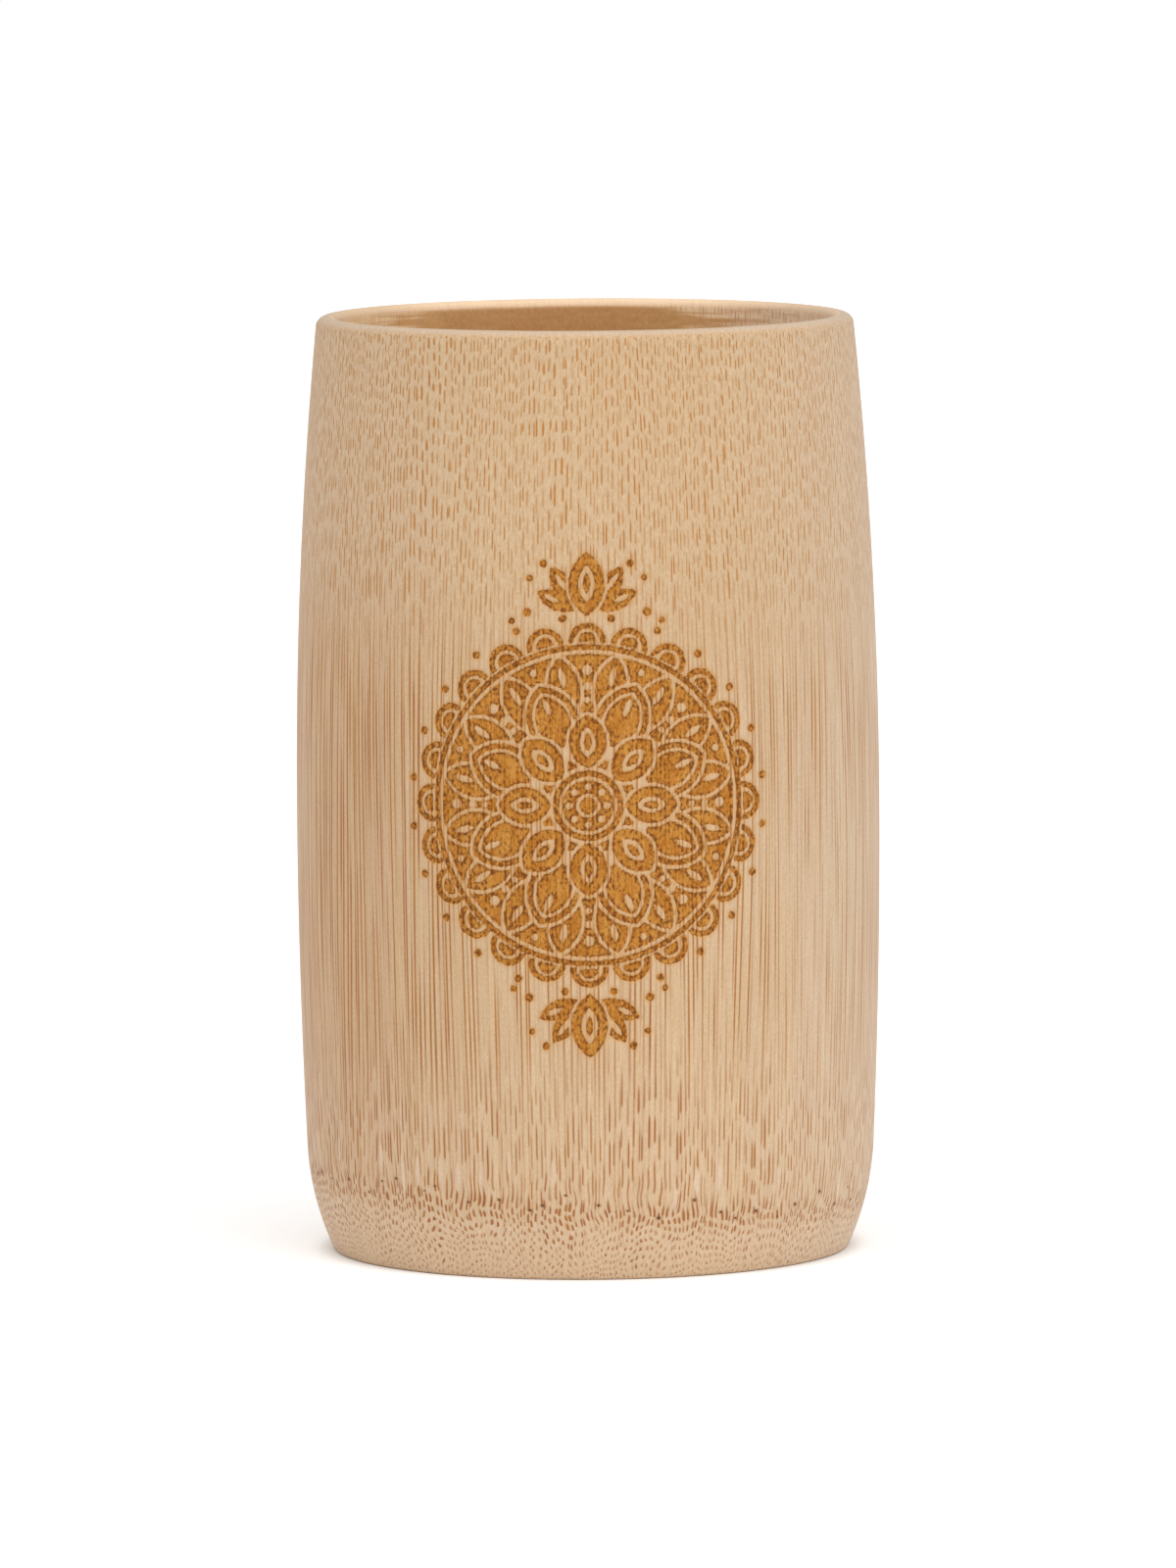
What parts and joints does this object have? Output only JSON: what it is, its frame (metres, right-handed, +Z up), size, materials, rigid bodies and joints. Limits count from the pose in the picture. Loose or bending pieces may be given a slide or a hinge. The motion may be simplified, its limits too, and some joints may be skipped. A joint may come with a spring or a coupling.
{
  "type": "bamboo cup",
  "caption": "Tall round bamboo tumbler with gently barrelled sides, a rounded lip, a foot that curves in, and a natural cross wall as its floor above a shallow recess.",
  "frame": {"origin": "centre of the circle that the cup stands on, in the plane of the foot ring", "axes": "+Z up along the cup's axis; -Y is the front, the side with the burnt ornament; +X is to the right seen from the front"},
  "size_m": [0.0748, 0.0748, 0.12],
  "materials": {
    "bamboo_wall": "turned, fine sanded and sealed satin, with a burnt ornament on the front",
    "bamboo_node": "turned and sealed satin"
  },
  "bodies": {
    "root": {"culm_wall": "bamboo_wall", "node_diaphragm": "bamboo_node"}
  },
  "joints": []
}
